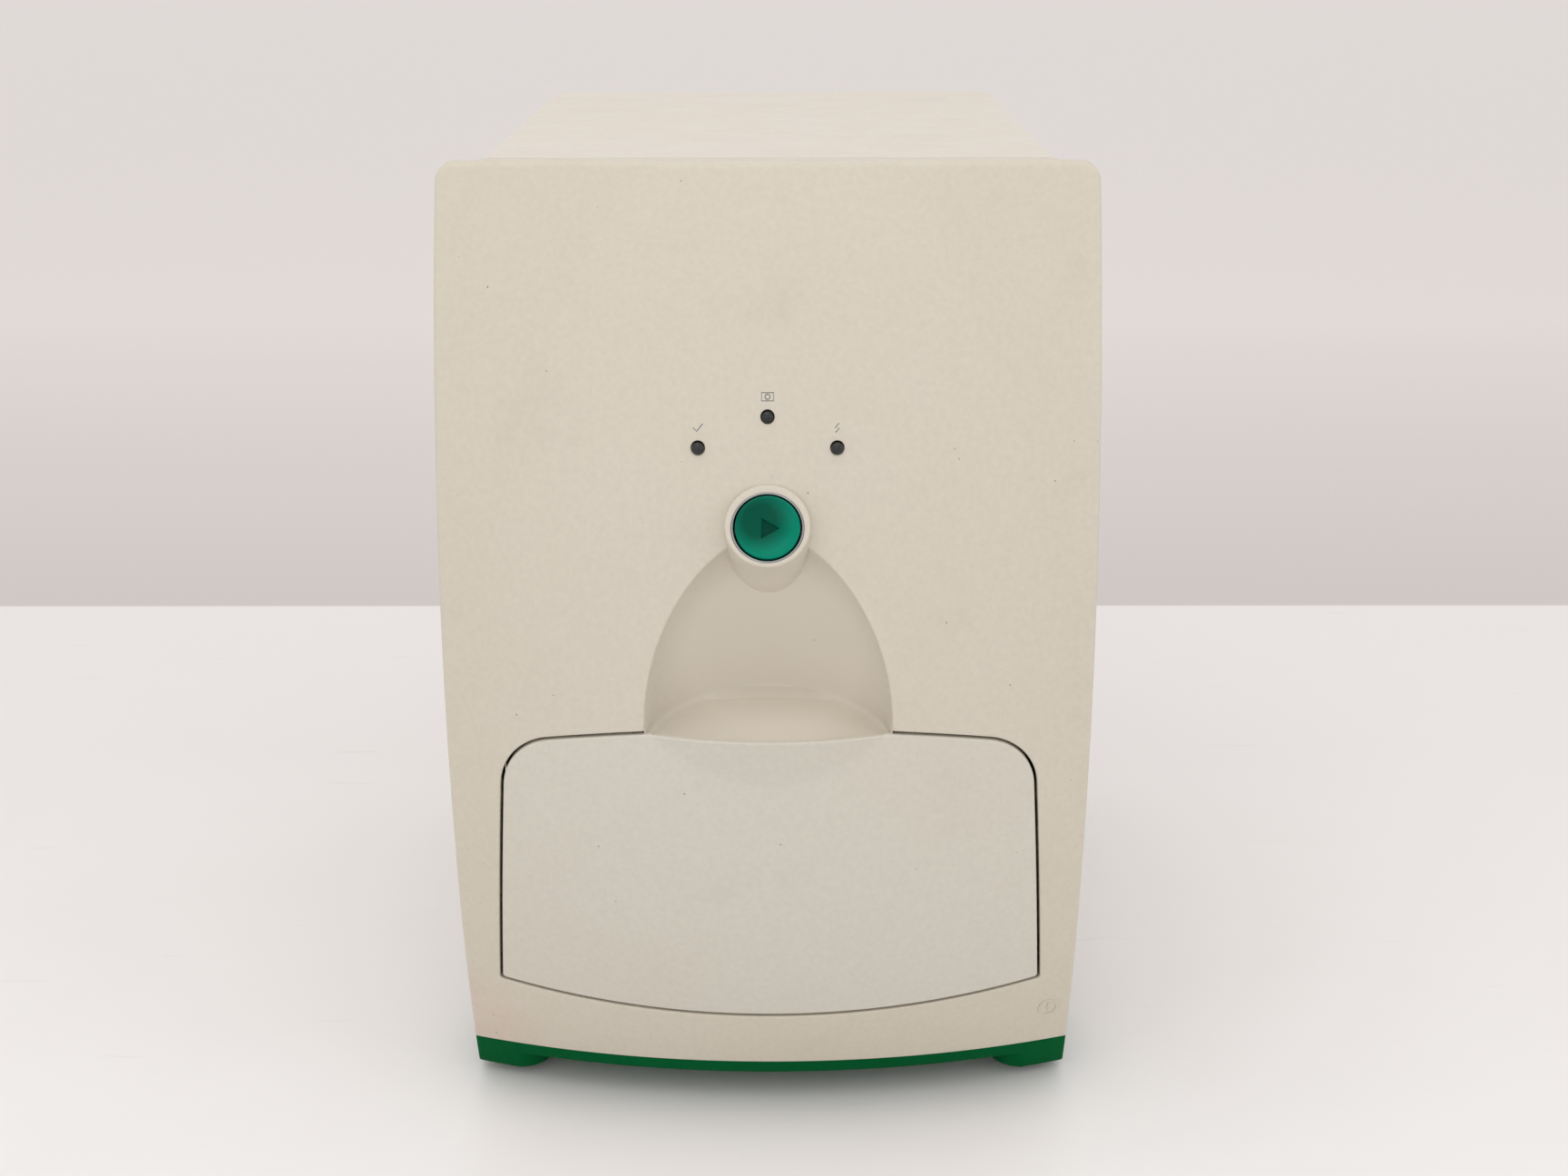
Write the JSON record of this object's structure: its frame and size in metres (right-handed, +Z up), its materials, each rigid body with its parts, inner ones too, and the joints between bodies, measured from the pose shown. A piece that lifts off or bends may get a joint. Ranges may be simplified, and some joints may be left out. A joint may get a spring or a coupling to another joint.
{
  "type": "gel documentation system",
  "caption": "Bench-top gel imager with a bulging moulded front, a pull-out sample drawer below a finger scoop, a tilted start button and status lamps on a low base.",
  "frame": {"origin": "centre of the footprint on the bench", "axes": "+Z up, the front faces -Y, and +X points to the right of someone who stands in front of it"},
  "size_m": [0.26, 0.38, 0.4],
  "materials": {
    "cream_shell": "fine texture",
    "drawer_shell": "fine texture",
    "green_base": "satin",
    "foot_rubber": "matt",
    "sheet_steel": "zinc plated",
    "zinc_screws": "plated",
    "button_plastic": "gloss",
    "collar_chrome": "polished",
    "black_plastic": "moulded",
    "circuit_board": "solder mask",
    "lamp_lens": "clear tinted",
    "hood_black": "matt",
    "seal_foam": "foam",
    "filter_glass": "coated",
    "lens_black": "satin",
    "camera_alloy": "anodised",
    "strip_diffuser": "opal",
    "window_glass": "polished",
    "tube_glass": "glass tube",
    "socket_white": "moulded",
    "bright_aluminium": "bright",
    "rail_steel": "zinc plated",
    "carrier_grey": "powder coat",
    "cast_ballast": "cast",
    "brass_posts": "turned",
    "socket_steel": "plated"
  },
  "bodies": {
    "housing": {"front_bezel": "cream_shell", "base_plinth": "green_base", "rubber_feet": "foot_rubber", "foot_screws": "zinc_screws", "chassis_pan": "sheet_steel", "front_frame": "sheet_steel", "enclosure_cover": "cream_shell", "rear_panel": "cream_shell", "cover_screws": "zinc_screws", "bezel_screws": "zinc_screws", "button_collar": "collar_chrome", "start_switch": "black_plastic", "start_board": "circuit_board", "ready_lamp": "lamp_lens", "imaging_lamp": "lamp_lens", "fault_lamp": "lamp_lens", "lamp_board": "circuit_board", "switch_housing": "black_plastic", "light_hood": "hood_black", "light_seal": "seal_foam", "filter_holder": "black_plastic", "emission_filter": "filter_glass", "camera_lens": "lens_black", "camera_body": "camera_alloy", "camera_bracket": "sheet_steel", "light_strip_left": "strip_diffuser", "light_strip_right": "strip_diffuser", "lamp_box": "sheet_steel", "lamp_window": "window_glass", "lamp_tubes": "tube_glass", "tube_sockets": "socket_white", "lamp_reflector": "bright_aluminium", "side_bracket_left": "sheet_steel", "side_bracket_right": "sheet_steel", "rail_outer_left": "rail_steel", "rail_outer_right": "rail_steel", "drawer_catch": "black_plastic", "drawer_sensor": "black_plastic", "ballast": "cast_ballast", "power_supply": "sheet_steel", "controller_board": "circuit_board", "board_standoffs": "brass_posts", "fan_frame": "black_plastic", "fan_guard": "zinc_screws", "power_inlet": "black_plastic", "usb_socket": "socket_steel"},
    "drawer": {"drawer_front": "drawer_shell", "drawer_carrier": "carrier_grey", "drawer_screws": "zinc_screws", "strike_plate": "sheet_steel", "rail_inner_left": "rail_steel", "rail_inner_right": "rail_steel"},
    "rail_middles": {"rail_middle_left": "rail_steel", "rail_middle_right": "rail_steel"},
    "tray": {"sample_tray": "black_plastic", "tray_window": "window_glass"},
    "button": {"start_button": "button_plastic"},
    "rocker": {"power_rocker": "black_plastic"},
    "fan": {"fan_rotor": "black_plastic"},
    "fuse": {"fuse_drawer": "black_plastic"}
  },
  "joints": [
    {"name": "drawer_slide", "type": "slide", "parent": "housing", "child": "drawer", "axis": [0, -1, 0], "range_m": [0, 0.2]},
    {"name": "rail_slide", "type": "slide", "parent": "housing", "child": "rail_middles", "axis": [0, -1, 0], "range_m": [0, 0.1]},
    {"name": "tray_lift", "type": "slide", "parent": "drawer", "child": "tray", "axis": [0, 0, 1], "range_m": [0, 0.025]},
    {"name": "start_press", "type": "slide", "parent": "housing", "child": "button", "axis": [0, 0.848, -0.5299], "range_m": [0, 0.0025], "stiffness_N_per_m": 600, "springref_m": -0.001},
    {"name": "rocker_throw", "type": "hinge", "parent": "housing", "child": "rocker", "pos_m": [0.1205, -0.118, 0.054], "axis": [0, 1, 0], "range_deg": [0, 16]},
    {"name": "fan_spin", "type": "hinge", "parent": "housing", "child": "fan", "pos_m": [0.052, 0.17, 0.3], "axis": [0, 1, 0], "continuous": true},
    {"name": "fuse_pull", "type": "slide", "parent": "housing", "child": "fuse", "axis": [0, 1, 0], "range_m": [0, 0.014]}
  ],
  "couplings": [
    {"joint": "rail_slide", "follows": "drawer_slide", "ratio": 0.5}
  ]
}
